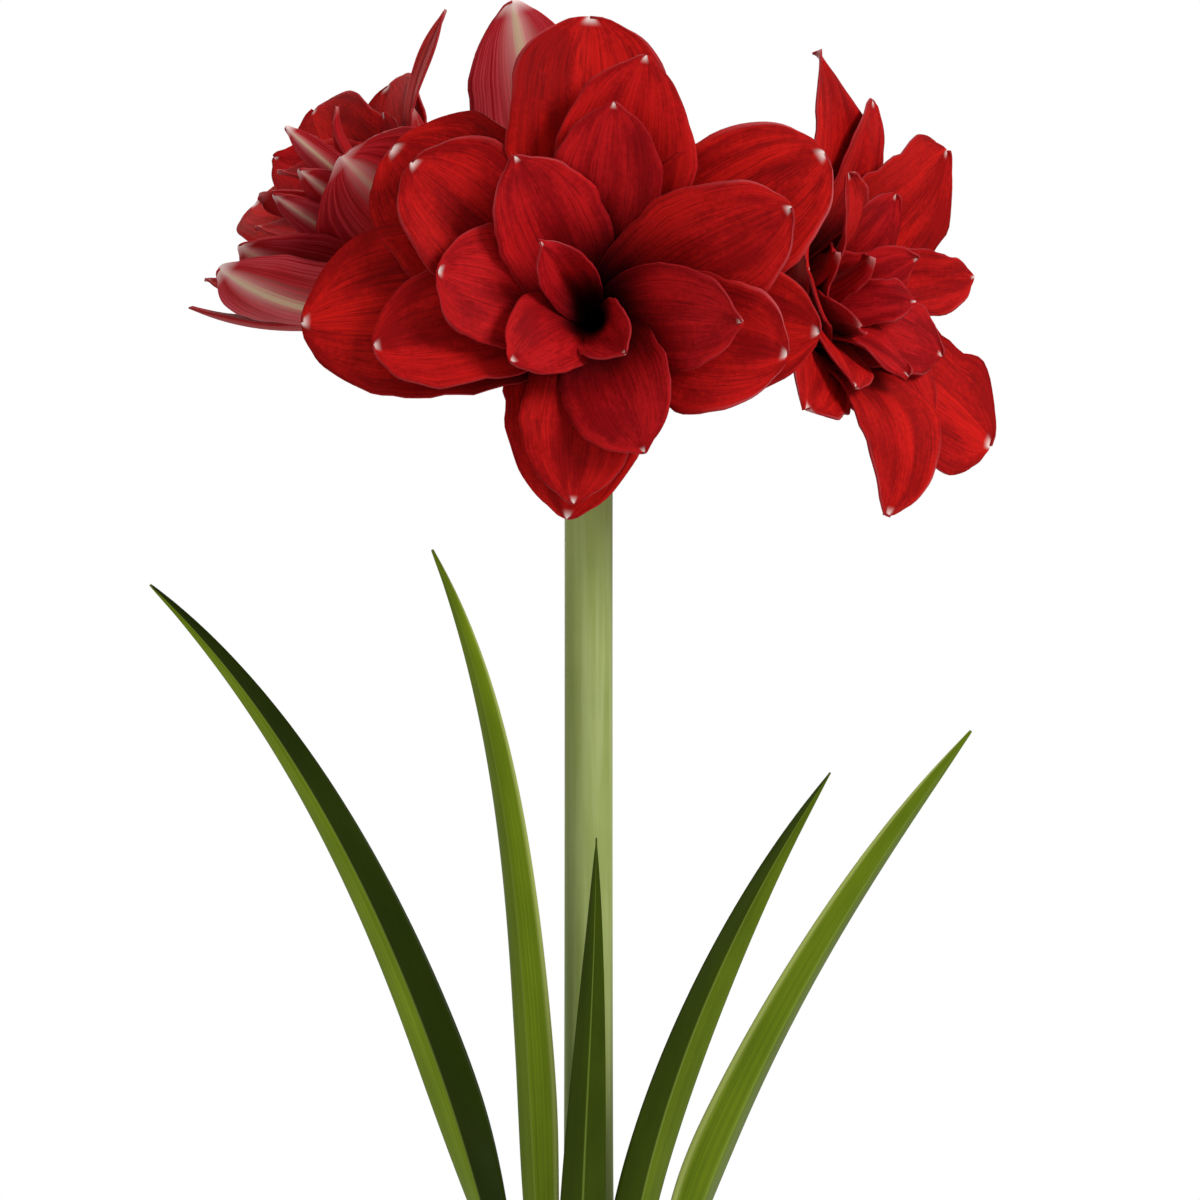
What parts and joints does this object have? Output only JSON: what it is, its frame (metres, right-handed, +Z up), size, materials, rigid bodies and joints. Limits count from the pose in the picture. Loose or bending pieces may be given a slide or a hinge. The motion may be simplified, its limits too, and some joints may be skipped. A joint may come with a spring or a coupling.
{
  "type": "potted double amaryllis",
  "caption": "Tall bulb plant in a plain clay pot, with large many-petalled blooms on one thick scape above arching strap leaves.",
  "frame": {"origin": "centre of the pot's underside", "axes": "+Z up along the scape, +X to the right in the picture, +Y away from the viewer"},
  "size_m": [0.3259, 0.2604, 0.7335],
  "materials": {
    "terracotta": "matte",
    "compost": "matte",
    "bulb_skin": "satin",
    "scape_green": "satin",
    "leaf_green": "satin",
    "pedicel_green": "satin",
    "petal_red": "satin",
    "bract_paper": "matte"
  },
  "bodies": {
    "root": {"pot": "terracotta", "soil": "compost", "bulb": "bulb_skin", "scape": "scape_green", "leaf_far_left": "leaf_green", "leaf_left": "leaf_green", "leaf_front": "leaf_green", "leaf_right": "leaf_green", "leaf_far_right": "leaf_green", "bract_left": "bract_paper", "bract_right": "bract_paper", "pedicel_front": "pedicel_green", "pedicel_left": "pedicel_green", "pedicel_right": "pedicel_green", "pedicel_back": "pedicel_green", "bloom_front": "petal_red", "bloom_left": "petal_red", "bloom_right": "petal_red", "bloom_back": "petal_red"}
  },
  "joints": []
}
